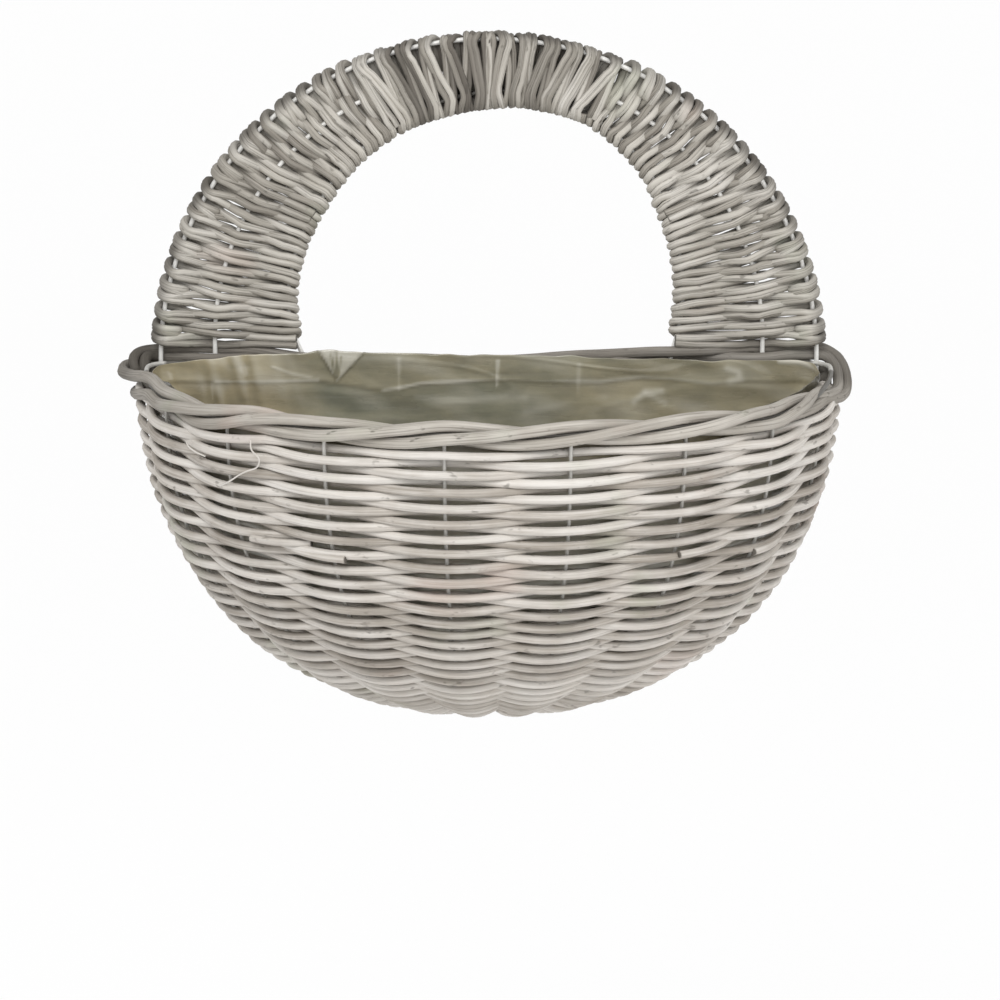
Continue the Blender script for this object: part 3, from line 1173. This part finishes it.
# %% [markdown]
# ## Camera and light
#
# The picture was taken from about twelve degrees above the rim, from well back with a long lens. The
# camera is aimed so that the middle of the rim falls where it does there. The world gives an even
# light, a large soft lamp stands above and in front at the left, and a weaker one fills in from the
# right. The white behind comes from what camera rays see, not from more light.

# %% Camera
DISTANCE, ELEVATION = 2.6, math.radians(12.0)
PIXELS_PER_METRE, PICTURE = 1810.0, 1000.0
RIM_PIXEL = (488.5, 361.5)
camera = bpy.data.cameras.new("camera")
camera.sensor_width = 36.0
focal = PIXELS_PER_METRE * DISTANCE
camera.lens = focal / PICTURE * camera.sensor_width
camera.clip_end = 50.0
eye = placed("camera", camera)
eye.location = (0.0, -DISTANCE * math.cos(ELEVATION), RIM_HEIGHT + DISTANCE * math.sin(ELEVATION))
yaw = math.atan((PICTURE / 2 - RIM_PIXEL[0]) / focal)
pitch = math.atan((PICTURE / 2 - RIM_PIXEL[1]) / focal)
eye.rotation_euler = (math.pi / 2 - ELEVATION - pitch, 0.0, -yaw)
bpy.context.scene.camera = eye

# %% Backdrop, world and lamps
def stage_paint():
    """White to camera, gloss and see-through rays; pale and plain to light."""
    finish = Finish("studio_white")
    camera_ray = finish.node("ShaderNodeLightPath")
    rays = camera_ray.socket.node.outputs
    gloss, through = (Value(finish, rays[f"Is {kind} Ray"]) for kind in ("Glossy", "Transmission"))
    seen = (camera_ray + gloss + through).clip() * 0.92
    glow = finish.node("ShaderNodeEmission", {}, {"Color": (1.0, 1.0, 1.0), "Strength": 1.0})
    finish.set(Base_Color=(0.86, 0.86, 0.86), Roughness=0.9)
    paint = Value(finish, finish.shader.outputs[0])
    mixed = finish.node("ShaderNodeMixShader", {}, {0: seen, 1: paint, 2: glow})
    finish.tree.links.new(mixed.socket, finish.tree.nodes["Material Output"].inputs["Surface"])
    return finish.material


def backdrop():
    """Floor and wall as one sheet: a profile of floor, quarter round and wall, carried sideways."""
    turn = np.radians(np.linspace(0.0, 90.0, 13))
    depth = np.concatenate([[-4.0], 3.0 + 0.8 * np.sin(turn), [3.8]])[:, None]
    height = np.concatenate([[-0.75], 0.05 - 0.8 * np.cos(turn), [4.0]])[:, None]
    points = xyz(np.array([-5.0, 5.0]), depth, height - RIM_HEIGHT)
    i = np.arange(len(points) - 1) * 2
    mesh = grid_mesh("backdrop", points.reshape(-1, 3), np.stack([i, i + 1, i + 3, i + 2], axis=-1))
    mesh.materials.append(stage_paint())
    sweep_sheet = placed("backdrop", mesh)


def lamp(name, place, target, size, watts):
    """A square soft lamp at a place, turned towards a target."""
    light = bpy.data.lights.new(name, "AREA")
    light.shape = "SQUARE"
    light.size = size
    light.energy = watts
    holder = placed(name, light)
    holder.location = place
    holder.rotation_euler = (Vector(target) - Vector(place)).to_track_quat("-Z", "Y").to_euler()


backdrop()
world = bpy.data.worlds.new("studio")
bpy.context.scene.world = world
world.use_nodes = True
sky = world.node_tree.nodes["Background"]
sky.inputs["Color"].default_value = (1.0, 1.0, 1.0, 1.0)
ray = world.node_tree.nodes.new("ShaderNodeLightPath")
brightness = world.node_tree.nodes.new("ShaderNodeMapRange")
brightness.inputs["To Min"].default_value, brightness.inputs["To Max"].default_value = 0.89, 1.0
world.node_tree.links.new(ray.outputs["Is Camera Ray"], brightness.inputs["Value"])
world.node_tree.links.new(brightness.outputs["Result"], sky.inputs["Strength"])
middle = (0.0, -0.05, -0.15)
lamp("key", (-0.6, -2.0, 1.7), middle, size=1.2, watts=35.0)
lamp("fill", (1.6, -1.7, 0.5), middle, size=1.6, watts=14.0)
bpy.context.scene.view_settings.view_transform = "Standard"
